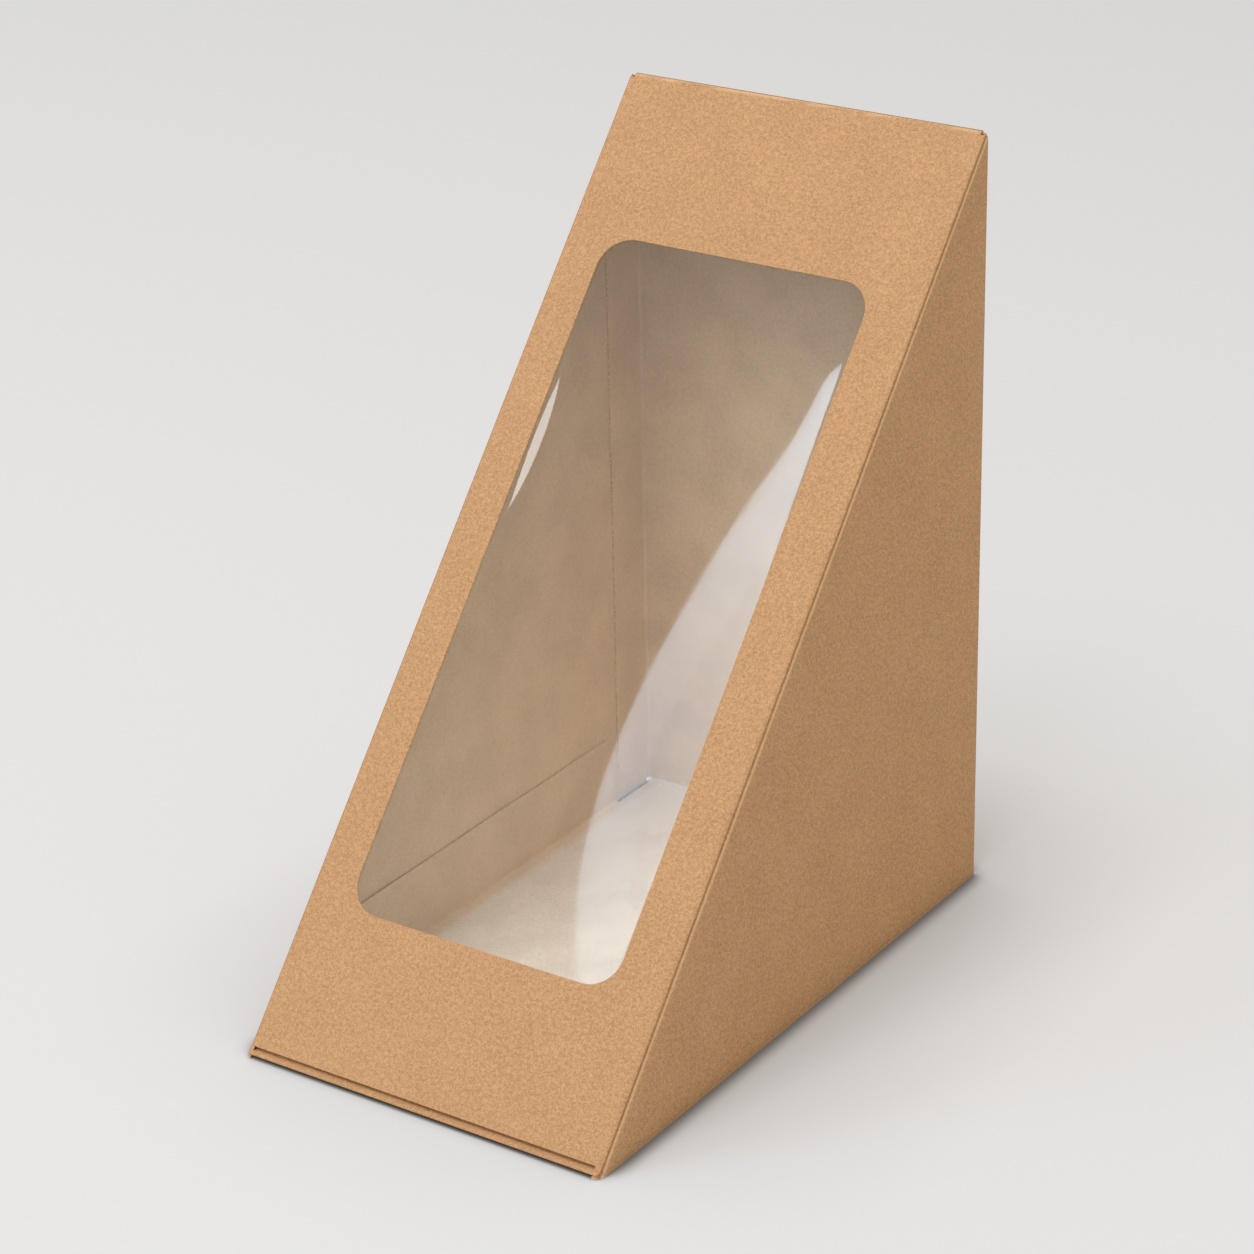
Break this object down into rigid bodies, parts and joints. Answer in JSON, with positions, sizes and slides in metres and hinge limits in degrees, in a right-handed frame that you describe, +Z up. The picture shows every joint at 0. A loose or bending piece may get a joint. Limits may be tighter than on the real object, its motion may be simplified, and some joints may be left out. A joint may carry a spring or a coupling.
{
  "type": "sandwich wedge pack",
  "caption": "Wedge-shaped takeaway pack of folded kraft board with a clear film window in its sloping front and a tuck-in lid at its foot.",
  "frame": {"origin": "middle of the pack's foot, on the surface that it stands on", "axes": "+Z up to the apex fold, -Y towards the foot of the sloping window panel, +Y out of the upright back wall, +X across the pack"},
  "size_m": [0.073, 0.123, 0.1419],
  "materials": {
    "kraft_board": "uncoated brown kraft board outside with fine fibre mottling, paler satin coating inside",
    "lid_board": "the same kraft board, with its satin coated side facing the food",
    "clear_film": "clear glossy packaging film"
  },
  "bodies": {
    "pack": {"card_body": "kraft_board", "window_film": "clear_film"},
    "lid": {"base_lid": "lid_board"}
  },
  "joints": [
    {"name": "lid_hinge", "type": "hinge", "parent": "pack", "child": "lid", "pos_m": [0, 0.0615, 0], "axis": [1, 0, 0], "range_deg": [0, 135]}
  ]
}
